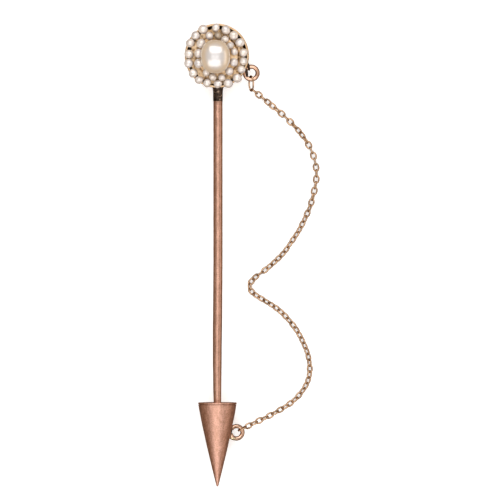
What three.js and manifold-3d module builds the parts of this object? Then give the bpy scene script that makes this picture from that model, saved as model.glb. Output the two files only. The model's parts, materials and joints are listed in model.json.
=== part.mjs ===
// Jabot pin: a pearl cluster head on a long stem, a conical cap that slides off the stem's point,
// and a fine safety chain from the head to the cap. The pin lies on its back.
// Millimetres, +Z up. The origin is the centre of the back plate's flat face, on the surface that
// the pin lies on. The stem runs towards -Y and the chain side is +X.
import * as THREE from 'three';
import { mergeVertices } from 'three/addons/utils/BufferGeometryUtils.js';
import Module from 'manifold-3d';

const wasm = await Module();
wasm.setup();

// Fits
const FIT = 0.04; // gap between pieces that are soldered or glued together
const SLIDE_FIT = 0.05; // radial clearance of the cap on the stem

// Head
const PLATE_RADIUS = 4.3;
const PLATE_THICKNESS = 0.45;
const RIM_RADIUS = 5.04;
const RIM_TOP = 3.86;
const LEDGE_TOP = 3.76; // lower step of the setting plate, under the outer pearls
const TERRACE_TOP = 4.35; // upper step, under the inner pearls
// Both rows of seed pearls: angle in degrees and distance from the row's centre, and the pearl's radius.
const OUTER_ROW_CENTRE = [-0.22, 0.03];
const OUTER_ROW = [
  [90, 4.43, 0.64], [69, 4.31, 0.72], [49, 4.22, 0.72], [29, 4.24, 0.74], [7, 4.33, 0.74], [-11, 4.35, 0.72],
  [-28, 4.48, 0.72], [-46, 4.75, 0.74], [-66, 4.66, 0.74], [-86, 4.32, 0.68], [-108, 4.41, 0.7],
  [-125, 4.56, 0.74], [-143, 4.44, 0.76], [-165, 4.4, 0.76], [176, 4.22, 0.78], [153, 4.47, 0.74],
  [135, 4.47, 0.72], [116, 4.6, 0.75],
];
const INNER_ROW_CENTRE = [-0.28, -0.14];
const INNER_ROW = [
  [106, 3.41, 0.66], [137, 3.1, 0.73], [168, 2.68, 0.7], [201, 2.8, 0.73], [239, 2.79, 0.6], [262, 3.13, 0.6],
  [287, 3.33, 0.57], [314, 3.08, 0.64], [344, 2.97, 0.67], [16, 3.05, 0.62], [38, 2.92, 0.62],
  [62, 3.07, 0.64], [84, 3.3, 0.58],
];
const SEAT_DROP = 0.56; // depth of a seed pearl's flat seat under its centre, in pearl radii
const LARGE_PEARL_CENTRE = [-0.31, -0.1, 6.05];
const LARGE_PEARL_HALF = [2.3, 2.63, 1.6];
const LARGE_PEARL_SQUARENESS = 2.3; // exponent of the outline: 2 is an ellipse
const PEG_RADIUS = 0.32;
const PEG_TOP = 5.6;

// Stem
const AXIS_HEIGHT = 3.03; // the cap's mouth then rests on the surface beside the back plate
const STEM_START = -5.12;
const STEM_RADIUS = 0.72;
const STEM_TAPER = [[0.652, -50.7], [0.687, -48.2], [0.703, -45.7], [STEM_RADIUS, -43.2]];
const STEM_END_RADIUS = 0.6;
const STEM_STEP = 0.2; // the thin end stands this far out of the cap
const COLLAR_END = -6.95;

// Cap
const CAP_TOP = -53.84;
const CAP_RADIUS = 3.03;
const CAP_LENGTH = 13.11;
const CAP_POINT = 13.63; // where the sides would meet if the tip weren't blunt
const CAP_FULLNESS = 1.13; // 1 is a straight cone; more makes the sides bulge
const CAP_TIP_ROUNDING = 0.05;
const CAP_WALL = 0.35;
const CAP_SOLID_TIP = 2.6; // length of the cap's end that isn't hollow
const LID_THICKNESS = 0.32;
const INSERTION = 7.0; // length of stem inside the cap
const TUBE_LENGTH = 5.0;
const TUBE_WALL = 0.25;
const CATCH_WIRE = 0.13;

// Rings and chain
const HEAD_RING = { centre: [5.27, -2.57, 2.2], radius: 0.99, wire: 0.33 };
const CAP_RING = { out: 3.07, along: -58.51, tilt: 15, radius: 0.97, wire: 0.33 };
const CHAIN_RADIUS = 0.54; // outer size of the trace chain, as a round tube
const CHAIN_LINKS = 75;
const CHAIN_STRETCHES = 12;
const STRETCH_GAP = 0.3;
// The chain's two halves, hung from the head and from the cap, close and part here as the cap moves.
const MIDDLE_GAP = { after: 6, gap: 0.9 };
const ROUTE = [ // the chain's centre line, from the head's end link to the cap's
  [5.42, -5.12, 1.42], [5.85, -5.45, 1.22], [6.45, -5.95, 0.98], [7.7, -6.95, 0.68], [9.2, -8.2, 0.56],
  [10.6, -9.4, 0.56], [12.0, -10.8, 0.56], [13.2, -12.2, 0.56], [14.3, -13.9, 0.56],
  [15.0, -15.5, 0.56], [15.4, -17.4, 0.56], [15.4, -19.3, 0.56], [15.0, -21.3, 0.56],
  [14.5, -23.2, 0.56], [13.7, -25.1, 0.56], [12.7, -27.1, 0.56], [11.5, -28.9, 0.56],
  [10.4, -30.5, 0.56], [9.0, -31.9, 0.56], [7.5, -33.2, 0.56], [6.1, -34.2, 0.56],
  [5.2, -35.1, 0.56], [4.9, -35.9, 0.56], [5.5, -36.8, 0.56], [6.5, -37.5, 0.56],
  [8.0, -38.4, 0.56], [9.6, -39.5, 0.56], [11.1, -41.0, 0.56], [12.4, -42.7, 0.56],
  [13.4, -44.6, 0.56], [14.1, -46.4, 0.56], [14.4, -48.3, 0.56], [14.3, -49.9, 0.56],
  [13.7, -51.4, 0.58], [12.7, -52.8, 0.68], [11.4, -54.0, 0.86], [10.0, -54.9, 1.05],
  [8.2, -55.9, 1.32], [6.0, -56.95, 1.66], [4.45, -57.7, 1.92],
];
const UPPER_LINK = { centre: [5.26, -4.2, 1.95], towards: [-0.02, -0.93, -0.36], roll: 60,
  length: 2.6, width: 1.56, wire: 0.12 };
const LOWER_LINK = { centre: [3.87, -57.94, 2.02], towards: [-0.88, -0.46, 0.06], roll: 80,
  length: 1.48, width: 1.3, wire: 0.12 };

// Materials
const GOLD = new THREE.MeshStandardMaterial({ color: 0xd79a63, roughness: 0.32, metalness: 1 });
const ROSE_GOLD = new THREE.MeshStandardMaterial({ color: 0xc98a6b, roughness: 0.45, metalness: 1 });
const SOLDER = new THREE.MeshStandardMaterial({ color: 0x4a3426, roughness: 0.6, metalness: 0.8 });
const SPRING = new THREE.MeshStandardMaterial({ color: 0xb9a58a, roughness: 0.35, metalness: 1 });
const PEARL = new THREE.MeshStandardMaterial({ color: 0xf1e9e2, roughness: 0.2, metalness: 0 });

const deg = THREE.MathUtils.degToRad;

function mesh(name, geometry, material) {
  const piece = new THREE.Mesh(geometry, material);
  piece.name = name;
  return piece;
}

// Merges shared vertices and turns the triangles round if they enclose a negative volume.
function closed(source) {
  const bare = source.clone();
  bare.deleteAttribute('normal');
  bare.deleteAttribute('uv');
  const geometry = mergeVertices(bare, 1e-4);
  const p = geometry.attributes.position;
  const index = Array.from(geometry.index.array);
  const [a, b, c] = [new THREE.Vector3(), new THREE.Vector3(), new THREE.Vector3()];
  const kept = [];
  let volume = 0;
  for (let i = 0; i < index.length; i += 3) {
    const [u, v, w] = index.slice(i, i + 3);
    if (u === v || v === w || w === u) continue;
    kept.push(u, v, w);
    a.fromBufferAttribute(p, u);
    b.fromBufferAttribute(p, v);
    c.fromBufferAttribute(p, w);
    volume += a.dot(b.cross(c));
  }
  if (volume < 0) kept.reverse();
  geometry.setIndex(kept);
  return geometry;
}

function toManifold(geometry) {
  const solid = closed(geometry);
  return new wasm.Manifold(new wasm.Mesh({
    numProp: 3,
    vertProperties: new Float32Array(solid.attributes.position.array),
    triVerts: new Uint32Array(solid.index.array),
  }));
}

function subtract(geometry, cutter) {
  const result = toManifold(geometry).subtract(toManifold(cutter)).getMesh();
  const cut = new THREE.BufferGeometry();
  cut.setAttribute('position', new THREE.BufferAttribute(new Float32Array(result.vertProperties), 3));
  cut.setIndex(Array.from(result.triVerts));
  return cut;
}

// A turned shape round Y from [radius, y] points, or round Z where upright is true.
function turned(profile, segments, upright = false) {
  const points = profile.map(([r, y]) => new THREE.Vector2(r, y));
  const geometry = new THREE.LatheGeometry(points, segments);
  if (upright) geometry.rotateX(Math.PI / 2);
  return closed(geometry);
}

function roundSection(radius, sides) {
  const points = [];
  for (let i = 0; i < sides; i += 1) {
    const angle = (i + 0.5) / sides * 2 * Math.PI;
    points.push(new THREE.Vector2(radius * Math.cos(angle), radius * Math.sin(angle)));
  }
  return new THREE.Shape(points);
}

// A round bar along a curve, with flat ends.
function bar(curve, radius, sides, steps) {
  return closed(new THREE.ExtrudeGeometry(roundSection(radius, sides), { steps, extrudePath: curve }));
}

// An arc of wire in the XY plane, from one angle to another, in degrees.
class WireArc extends THREE.Curve {
  constructor(radius, from, to) {
    super();
    Object.assign(this, { radius, from, to });
  }

  getPoint(t, target = new THREE.Vector3()) {
    const angle = deg(this.from + (this.to - this.from) * t);
    return target.set(this.radius * Math.cos(angle), this.radius * Math.sin(angle), 0);
  }
}

// A link's centre line: two straights and two half circles, long axis X.
class LinkLoop extends THREE.Curve {
  constructor(length, width) {
    super();
    this.bend = width / 2;
    this.straight = length - width;
    this.around = 2 * this.straight + Math.PI * width;
  }

  getPoint(t, target = new THREE.Vector3()) {
    const { bend, straight, around } = this;
    const s = t * around;
    const arc = Math.PI * bend;
    if (s < straight) return target.set(-straight / 2 + s, -bend, 0);
    if (s < straight + arc) {
      const angle = (s - straight) / bend - Math.PI / 2;
      return target.set(straight / 2 + bend * Math.cos(angle), bend * Math.sin(angle), 0);
    }
    if (s < 2 * straight + arc) return target.set(straight / 2 - (s - straight - arc), bend, 0);
    const angle = (s - 2 * straight - arc) / bend + Math.PI / 2;
    return target.set(-straight / 2 + bend * Math.cos(angle), bend * Math.sin(angle), 0);
  }
}

// The stretch of a longer curve between two shares of its length.
class Stretch extends THREE.Curve {
  constructor(whole, from, to) {
    super();
    Object.assign(this, { whole, from, to });
  }

  getPoint(t, target = new THREE.Vector3()) {
    return this.whole.getPointAt(this.from + (this.to - this.from) * t, target);
  }
}

function backPlate() {
  const r = PLATE_RADIUS;
  const bevel = 0.12;
  const profile = [[0, 0], [r - bevel, 0], [r, bevel], [r, PLATE_THICKNESS], [0, PLATE_THICKNESS]];
  return mesh('back_plate', turned(profile, 48, true), GOLD);
}

// The gallery: a flared band from the back plate up to the rim round the pearls.
function galleryRim() {
  const base = PLATE_THICKNESS + FIT;
  const profile = [
    [4.35, base], [4.46, 1.2], [4.7, 2.6], [4.9, 3.3], [RIM_RADIUS, 3.5], [RIM_RADIUS, RIM_TOP - 0.08],
    [RIM_RADIUS - 0.08, RIM_TOP], [4.72, RIM_TOP], [4.64, 3.3], [4.36, 2.6], [4.1, 1.2], [3.98, base],
    [4.35, base],
  ];
  return mesh('gallery_rim', turned(profile, 48, true), GOLD);
}

function settingPlate() {
  const profile = [
    [0, 3.85], [2.95, 3.85], [3.15, 3.36], [4.58, 3.36], [4.58, LEDGE_TOP], [3.34, LEDGE_TOP],
    [3.28, TERRACE_TOP], [0, TERRACE_TOP],
  ];
  return mesh('setting_plate', turned(profile, 36, true), GOLD);
}

function largePearlCup() {
  const base = TERRACE_TOP + FIT;
  const profile = [[0.85, base], [1.75, base], [1.95, 4.7], [1.82, 4.74], [1.3, 4.5], [0.85, base]];
  const cup = mesh('large_pearl_cup', turned(profile, 24, true), GOLD);
  cup.position.set(LARGE_PEARL_CENTRE[0], LARGE_PEARL_CENTRE[1], 0);
  return cup;
}

function pearlPeg() {
  const base = TERRACE_TOP + FIT;
  const profile = [
    [0, base], [0.6, base], [0.6, base + 0.06], [PEG_RADIUS, base + 0.07], [PEG_RADIUS, PEG_TOP],
    [0, PEG_TOP + 0.1],
  ];
  const peg = mesh('pearl_peg', turned(profile, 12, true), GOLD);
  peg.position.set(LARGE_PEARL_CENTRE[0], LARGE_PEARL_CENTRE[1], 0);
  return peg;
}

// A button pearl with a rounded-square outline, drilled from below for its peg.
function largePearl() {
  const geometry = new THREE.SphereGeometry(1, 24, 14);
  geometry.rotateX(Math.PI / 2);
  const p = geometry.attributes.position;
  const n = LARGE_PEARL_SQUARENESS;
  for (let i = 0; i < p.count; i += 1) {
    const flat = Math.hypot(p.getX(i), p.getY(i));
    const c = flat > 1e-6 ? Math.abs(p.getX(i)) / flat : 1;
    const s = flat > 1e-6 ? Math.abs(p.getY(i)) / flat : 0;
    const outline = (c ** n + s ** n) ** (-1 / n);
    p.setXYZ(i, p.getX(i) * outline * LARGE_PEARL_HALF[0], p.getY(i) * outline * LARGE_PEARL_HALF[1],
      p.getZ(i) * LARGE_PEARL_HALF[2]);
  }
  const depth = PEG_TOP + 0.2 - (LARGE_PEARL_CENTRE[2] - LARGE_PEARL_HALF[2]) + 1;
  const drill = new THREE.CylinderGeometry(PEG_RADIUS + FIT, PEG_RADIUS + FIT, depth, 16);
  drill.rotateX(Math.PI / 2);
  drill.translate(0, 0, PEG_TOP + 0.2 - LARGE_PEARL_CENTRE[2] - depth / 2);
  const pearl = mesh('large_pearl', subtract(geometry, drill), PEARL);
  pearl.position.set(...LARGE_PEARL_CENTRE);
  return pearl;
}

// A round seed pearl with a flat underside at z = 0.
function seedPearl(name, radius) {
  const drop = SEAT_DROP * radius;
  const low = -Math.asin(SEAT_DROP);
  const profile = [[0, 0]];
  const bands = 5;
  for (let i = 0; i <= bands; i += 1) {
    const angle = low + (Math.PI / 2 - low) * i / bands;
    profile.push([i < bands ? radius * Math.cos(angle) : 0, drop + radius * Math.sin(angle)]);
  }
  return mesh(name, turned(profile, 10, true), PEARL);
}

// Places a ring of seed pearls, each no larger than its neighbours leave room for.
function pearlRow(prefix, row, centre, seat) {
  const spots = row.map(([angle, r]) => [
    centre[0] + r * Math.cos(deg(angle)),
    centre[1] + r * Math.sin(deg(angle)),
  ]);
  return spots.map(([x, y], i) => {
    const others = spots.filter((spot, j) => j !== i);
    const spacing = Math.min(...others.map(([u, v]) => Math.hypot(u - x, v - y)));
    const radius = Math.min(row[i][2], spacing / 2 - FIT / 4);
    const pearl = seedPearl(`${prefix}_${String(i + 1).padStart(2, '0')}`, radius);
    pearl.position.set(x, y, seat);
    return pearl;
  });
}

// The pin's stem: a tapered round bar with a pointed end and a groove that the catch drops into.
function stem() {
  const mouth = CAP_TOP;
  const point = CAP_TOP - INSERTION;
  const groove = grooveAt();
  const neck = STEM_END_RADIUS - 0.12;
  const profile = [
    [0, point], [0.16, point + 0.06], [STEM_END_RADIUS, point + 0.85], [STEM_END_RADIUS, groove - 0.3],
    [neck, groove - 0.16], [neck, groove + 0.16], [STEM_END_RADIUS, groove + 0.3],
    [STEM_END_RADIUS, mouth + STEM_STEP], ...STEM_TAPER, [STEM_RADIUS, STEM_START], [0, STEM_START],
  ];
  const piece = mesh('stem', turned(profile, 24), ROSE_GOLD);
  piece.position.z = AXIS_HEIGHT;
  return piece;
}

function grooveAt() {
  return CAP_TOP - LID_THICKNESS - TUBE_LENGTH - 0.35;
}

// The solder fillet that holds the stem to the gallery: wide at the gallery, hollowed, then thin.
function stemCollar() {
  const inner = STEM_RADIUS + 0.02;
  const profile = [
    [inner, COLLAR_END], [inner + 0.03, COLLAR_END], [inner + 0.05, -6.3], [inner + 0.07, -5.6],
    [inner + 0.14, -5.25], [inner + 0.18, STEM_START], [inner, STEM_START], [inner, COLLAR_END],
  ];
  const piece = mesh('stem_collar', turned(profile, 20), SOLDER);
  piece.position.z = AXIS_HEIGHT;
  return piece;
}

function capRadius(depth) {
  return CAP_RADIUS * (1 - (depth / CAP_POINT) ** CAP_FULLNESS);
}

// The cap's shell: a hollow cone with slightly bulging sides and a solid tip, open at its mouth.
function capShell() {
  const start = LID_THICKNESS + FIT;
  const nose = CAP_LENGTH - CAP_TIP_ROUNDING;
  const hollow = CAP_LENGTH - CAP_SOLID_TIP;
  const profile = [[0, CAP_TOP - CAP_LENGTH]];
  const outerSteps = 11;
  for (let i = 0; i <= outerSteps; i += 1) {
    const depth = nose + (start - nose) * i / outerSteps;
    profile.push([capRadius(depth), CAP_TOP - depth]);
  }
  const innerSteps = 6;
  for (let i = 0; i <= innerSteps; i += 1) {
    const depth = start + (hollow - start) * i / innerSteps;
    profile.push([i < innerSteps ? capRadius(depth) - CAP_WALL : 0, CAP_TOP - depth]);
  }
  return mesh('cap_shell', turned(profile, 32), ROSE_GOLD);
}

function capLid() {
  const hole = STEM_END_RADIUS + SLIDE_FIT;
  const edge = CAP_RADIUS;
  const profile = [
    [hole, CAP_TOP - LID_THICKNESS], [edge - 0.02, CAP_TOP - LID_THICKNESS], [edge, CAP_TOP - 0.06],
    [edge - 0.06, CAP_TOP], [hole, CAP_TOP], [hole, CAP_TOP - LID_THICKNESS],
  ];
  return mesh('cap_lid', turned(profile, 32), ROSE_GOLD);
}

function capGuideTube() {
  const bore = STEM_END_RADIUS + SLIDE_FIT;
  const top = CAP_TOP - LID_THICKNESS - FIT;
  const bottom = top - TUBE_LENGTH;
  const outside = bore + TUBE_WALL;
  const profile = [[bore, bottom], [outside, bottom], [outside, top], [bore, top], [bore, bottom]];
  return mesh('cap_guide_tube', turned(profile, 20), GOLD);
}

// The catch: an open ring of spring wire that rides on the stem and snaps into its groove.
function capCatchSpring() {
  const radius = STEM_END_RADIUS + SLIDE_FIT + CATCH_WIRE;
  const geometry = bar(new WireArc(radius, 25, 335), CATCH_WIRE, 6, 18);
  geometry.rotateX(Math.PI / 2);
  geometry.translate(0, grooveAt(), 0);
  return mesh('cap_catch_spring', geometry, SPRING);
}

// An open ring of wire whose two ends meet the wall it is soldered to; it opens towards -X.
function solderedRing(name, ring, from, to, material) {
  return mesh(name, bar(new WireArc(ring.radius, from, to), ring.wire, 10, 22), material);
}

function headRing() {
  const ring = solderedRing('head_ring', HEAD_RING, -140, 140, GOLD);
  ring.position.set(...HEAD_RING.centre);
  ring.rotation.z = Math.atan2(HEAD_RING.centre[1], HEAD_RING.centre[0]);
  return ring;
}

function capRing() {
  const ring = solderedRing('cap_ring', CAP_RING, -143, 118, ROSE_GOLD);
  ring.position.set(CAP_RING.out, CAP_RING.along, 0);
  return ring;
}

// A link lies along one direction and is rolled about it from the flat.
function chainLink(name, link) {
  const loop = new LinkLoop(link.length - 2 * link.wire, link.width - 2 * link.wire);
  const piece = mesh(name, closed(new THREE.TubeGeometry(loop, 24, link.wire, 6, true)), GOLD);
  const along = new THREE.Vector3(...link.towards).normalize();
  const flat = new THREE.Vector3(0, 0, 1).cross(along).normalize();
  flat.applyAxisAngle(along, deg(link.roll));
  const up = along.clone().cross(flat);
  piece.setRotationFromMatrix(new THREE.Matrix4().makeBasis(along, flat, up));
  piece.position.set(...link.centre);
  return piece;
}

// The chain as stretches of whole links, each with its own tube and a gap at each hinge.
function chainStretches() {
  const route = new THREE.CatmullRomCurve3(ROUTE.map((point) => new THREE.Vector3(...point)));
  route.arcLengthDivisions = 2000;
  const margin = (k) => (k === MIDDLE_GAP.after ? MIDDLE_GAP.gap : STRETCH_GAP) / 2 / route.getLength();
  const pieces = [];
  for (let k = 0; k < CHAIN_STRETCHES; k += 1) {
    const from = Math.round(CHAIN_LINKS * k / CHAIN_STRETCHES) / CHAIN_LINKS;
    const to = Math.round(CHAIN_LINKS * (k + 1) / CHAIN_STRETCHES) / CHAIN_LINKS;
    const path = new Stretch(route, from + margin(k), to - margin(k + 1));
    const name = `chain_${String(k + 1).padStart(2, '0')}`;
    pieces.push(mesh(name, bar(path, CHAIN_RADIUS, 8, 6), GOLD));
  }
  return pieces;
}

function head() {
  const group = new THREE.Group();
  group.add(backPlate(), galleryRim(), settingPlate(), largePearlCup(), pearlPeg(), largePearl());
  group.add(...pearlRow('outer_pearl', OUTER_ROW, OUTER_ROW_CENTRE, RIM_TOP + FIT / 2));
  group.add(...pearlRow('inner_pearl', INNER_ROW, INNER_ROW_CENTRE, TERRACE_TOP + FIT / 2), headRing());
  return group;
}

function cap() {
  const group = new THREE.Group();
  const tilted = new THREE.Group();
  tilted.rotation.y = deg(CAP_RING.tilt);
  tilted.add(capRing());
  group.add(capShell(), capLid(), capGuideTube(), capCatchSpring(), tilted);
  group.position.z = AXIS_HEIGHT;
  return group;
}

function chain() {
  const group = new THREE.Group();
  group.add(chainLink('upper_end_link', UPPER_LINK), ...chainStretches());
  group.add(chainLink('lower_end_link', LOWER_LINK));
  return group;
}

const pin = new THREE.Group();
pin.add(head(), stem(), stemCollar(), cap(), chain());

export default pin;
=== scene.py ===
import json
import math
import bpy
import numpy as np
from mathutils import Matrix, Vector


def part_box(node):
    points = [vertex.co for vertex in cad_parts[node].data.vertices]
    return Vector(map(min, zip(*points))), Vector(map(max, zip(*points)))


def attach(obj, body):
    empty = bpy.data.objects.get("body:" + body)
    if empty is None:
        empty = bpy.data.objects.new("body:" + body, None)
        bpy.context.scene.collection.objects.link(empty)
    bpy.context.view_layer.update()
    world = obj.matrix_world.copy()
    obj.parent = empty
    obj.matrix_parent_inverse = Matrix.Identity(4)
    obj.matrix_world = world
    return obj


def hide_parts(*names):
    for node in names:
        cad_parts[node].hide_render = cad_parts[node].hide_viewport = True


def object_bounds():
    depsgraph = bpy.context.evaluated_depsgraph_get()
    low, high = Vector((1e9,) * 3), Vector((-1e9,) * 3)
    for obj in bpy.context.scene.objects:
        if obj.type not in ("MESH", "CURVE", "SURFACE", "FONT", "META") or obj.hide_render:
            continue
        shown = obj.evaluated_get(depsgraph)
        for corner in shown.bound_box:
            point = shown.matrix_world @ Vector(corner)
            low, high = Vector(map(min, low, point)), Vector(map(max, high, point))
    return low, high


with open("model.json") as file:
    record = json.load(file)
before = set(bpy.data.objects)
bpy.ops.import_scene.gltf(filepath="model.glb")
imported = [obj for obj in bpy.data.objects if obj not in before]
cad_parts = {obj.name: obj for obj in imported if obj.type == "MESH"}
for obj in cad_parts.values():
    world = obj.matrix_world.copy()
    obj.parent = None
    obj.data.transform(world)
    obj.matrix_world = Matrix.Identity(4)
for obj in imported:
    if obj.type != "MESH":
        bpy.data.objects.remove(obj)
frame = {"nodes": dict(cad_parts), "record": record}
cadBox = [list(corner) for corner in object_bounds()]
mm = 0.001
bodyOfNode = {node: body for body, nodes in frame["record"]["behaviour"]["bodies"].items() for node in nodes}
print("frame loaded,", len(frame["nodes"]), "nodes")

# camera, floor and lights

cameraView = {"lens": 500.0, "sensor": 36.0, "span": 77.8, "above": (5.073, -30.124), "height": 3.0}


def makeCamera(view):
    # straight above the pin, as far off as makes the span fill the picture
    data = bpy.data.cameras.new("camera")
    data.lens, data.sensor_width = view["lens"], view["sensor"]
    obj = bpy.data.objects.new("camera", data)
    away = view["span"] * mm * view["lens"] / view["sensor"]
    obj.location = (view["above"][0] * mm, view["above"][1] * mm, view["height"] * mm + away)
    data.clip_start, data.clip_end = away / 20, away * 20
    bpy.context.collection.objects.link(obj)
    bpy.context.scene.camera = obj


makeCamera(cameraView)
print("camera placed")


class Wire:
    # a shader value in a sum: each operator adds the Math node that works it out

    def __init__(self, graph, socket):
        self.graph, self.socket = graph, socket

    def sum(self, operation, first, second):
        return self.graph.add("ShaderNodeMath", {"operation": operation}, {0: first, 1: second})

    def __add__(self, other):
        return self.sum("ADD", self, other)

    def __radd__(self, other):
        return self.sum("ADD", other, self)

    def __sub__(self, other):
        return self.sum("SUBTRACT", self, other)

    def __rsub__(self, other):
        return self.sum("SUBTRACT", other, self)

    def __mul__(self, other):
        return self.sum("MULTIPLY", self, other)

    def __rmul__(self, other):
        return self.sum("MULTIPLY", other, self)

    def clamp(self):
        return self.graph.add("ShaderNodeClamp", {}, {0: self})


class Graph:
    # one material's node tree

    def __init__(self, name):
        self.material = bpy.data.materials.new(name)
        self.material.use_nodes = True
        self.tree = self.material.node_tree
        self.tree.nodes.clear()
        self.place = self.add("ShaderNodeTexCoord", out="Object")

    def add(self, kind, settings=None, sockets=None, out=0):
        # a node of any type: its settings first, then the value or link of each socket
        node = self.tree.nodes.new(kind)
        for key, value in (settings or {}).items():
            if key == "stops":
                self.setStops(node.color_ramp, value)
            else:
                setattr(node, key, value)
        for key, value in (sockets or {}).items():
            if isinstance(value, Wire):
                self.tree.links.new(value.socket, node.inputs[key])
            else:
                node.inputs[key].default_value = value
        return Wire(self, node.outputs[out]) if len(node.outputs) else node

    def setStops(self, ramp, stops):
        while len(ramp.elements) < len(stops):
            ramp.elements.new(0.5)
        for element, (position, colour) in zip(ramp.elements, stops):
            element.position = position
            element.color = (*colour, 1.0)

    def noise(self, scale, detail=3.0, rough=0.5, place=None):
        # cloud noise from 0 to 1; scale is how many clouds there are in a metre
        sockets = {"Vector": place or self.place, "Scale": scale, "Detail": detail, "Roughness": rough}
        return self.add("ShaderNodeTexNoise", {}, sockets)

    def ramp(self, value, stops):
        return self.add("ShaderNodeValToRGB", {"stops": stops}, {0: value})

    def level(self, value, low, high, toLow=0.0, toHigh=1.0):
        # carries the range low to high over to toLow to toHigh, clamped
        sockets = {0: value, 1: low, 2: high, 3: toLow, 4: toHigh}
        return self.add("ShaderNodeMapRange", {}, sockets)

    def mix(self, share, first, second):
        # the first colour where the share is 0 and the second where it is 1
        settings = {"data_type": "RGBA", "blend_type": "MIX"}
        first = first if isinstance(first, Wire) else (*first, 1.0)
        second = second if isinstance(second, Wire) else (*second, 1.0)
        return self.add("ShaderNodeMix", settings, {0: share, 6: first, 7: second}, 2)

    def stretch(self, scale, turn=(0, 0, 0)):
        sockets = {"Vector": self.place, "Scale": scale, "Rotation": turn}
        return self.add("ShaderNodeMapping", {}, sockets)

    def axis(self, letter):
        return self.add("ShaderNodeSeparateXYZ", {}, {0: self.place}, "XYZ".index(letter))

    def bump(self, height, depth):
        # depth is the relief's real height in metres
        return self.add("ShaderNodeBump", {}, {"Height": height, "Distance": depth, "Strength": 1.0})

    def crevice(self, reach):
        # 1 in the open and 0 deep in a hollow, seen over that reach
        return self.add("ShaderNodeAmbientOcclusion", {"samples": 8}, {"Distance": reach}, "AO")

    def finish(self, sockets):
        shader = self.add("ShaderNodeBsdfPrincipled", {}, sockets)
        self.add("ShaderNodeOutputMaterial", {}, {"Surface": shader})
        return self.material


floorLook = {"colour": (0.93, 0.93, 0.93), "glow": 0.5, "size": 4.0, "gap": 0.004}


def floorMaterial(look):
    g = Graph("pale floor")
    tone = g.level(g.noise(9.0), 0.3, 0.7, 0.985, 1.0)
    colour = g.mix(tone, (0.9, 0.9, 0.9), look["colour"])
    return g.finish({"Base Color": colour, "Roughness": 0.9, "Emission Color": colour,
                     "Emission Strength": look["glow"]})


def makeFloor(look):
    half = look["size"] / 2
    z = -look["gap"] * mm
    corners = [(-half, -half, z), (half, -half, z), (half, half, z), (-half, half, z)]
    data = bpy.data.meshes.new("floor")
    data.from_pydata(corners, [], [(0, 1, 2, 3)])
    obj = bpy.data.objects.new("floor", data)
    data.materials.append(floorMaterial(look))
    bpy.context.collection.objects.link(obj)
    obj.visible_glossy = False  # so the metal keeps dark edges


makeFloor(floorLook)

# each lamp: how far it leans from straight above towards +Y and towards +X in degrees, its distance and
# its two sizes in metres, its strength and its colour
lamps = {
    "upperBox": {"lean": (34, 2), "away": 0.8, "size": (0.98, 0.52), "power": 3.5,
                 "colour": (1.0, 0.985, 0.97)},
    "lowerBox": {"lean": (-29, -9), "away": 0.8, "size": (1.08, 0.50), "power": 2.9,
                 "colour": (1.0, 0.98, 0.965)},
    "middleBox": {"lean": (0, -2), "away": 0.8, "size": (0.60, 0.22), "power": 0.42,
                 "colour": (1.0, 0.98, 0.96)},
    "rightFill": {"lean": (-5, 66), "away": 0.9, "size": (0.34, 0.9), "power": 0.95,
                  "colour": (1.0, 0.9, 0.82)},
}
lampAim = (0.003, -0.03, 0.003)  # the place that all the lamps face, in metres
# the room's light from below, at eye height and from above, and where each stands from straight down (0) to
# straight up (1)
surround = {"below": (0.18, 0.13, 0.09), "level": (0.44, 0.31, 0.20), "above": (0.36, 0.33, 0.31)}
surroundStops = (0.35, 0.52, 0.8)


def makeLamp(name, lamp):
    data = bpy.data.lights.new(name, "AREA")
    data.shape = "RECTANGLE"
    data.size, data.size_y = lamp["size"]
    data.energy, data.color = lamp["power"], lamp["colour"]
    obj = bpy.data.objects.new(name, data)
    toY, toX = (math.radians(angle) for angle in lamp["lean"])
    way = np.array([math.tan(toX), math.tan(toY), 1.0])
    way /= np.linalg.norm(way)
    obj.location = np.array(lampAim) + way * lamp["away"]
    obj.rotation_euler = (-toY, math.atan2(way[0], math.hypot(way[1], way[2])), 0.0)
    obj.visible_camera = False
    bpy.context.collection.objects.link(obj)


for lampName, lampValues in lamps.items():
    makeLamp(lampName, lampValues)


def makeSurround(values):
    world = bpy.data.worlds.new("surround")
    world.use_nodes = True
    tree = world.node_tree
    place = tree.nodes.new("ShaderNodeTexCoord")
    split = tree.nodes.new("ShaderNodeSeparateXYZ")
    level = tree.nodes.new("ShaderNodeMapRange")
    level.inputs["From Min"].default_value = -1.0
    ramp = tree.nodes.new("ShaderNodeValToRGB")
    ramp.color_ramp.elements.new(0.5)
    for element, position, key in zip(ramp.color_ramp.elements, surroundStops, values):
        element.position, element.color = position, (*values[key], 1.0)
    tree.links.new(place.outputs["Generated"], split.inputs[0])
    tree.links.new(split.outputs["Z"], level.inputs["Value"])
    tree.links.new(level.outputs[0], ramp.inputs[0])
    tree.links.new(ramp.outputs["Color"], tree.nodes["Background"].inputs["Color"])
    bpy.context.scene.world = world


makeSurround(surround)
bpy.context.scene.view_settings.view_transform = "Standard"
print("floor and lamps placed")

# materials


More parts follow.
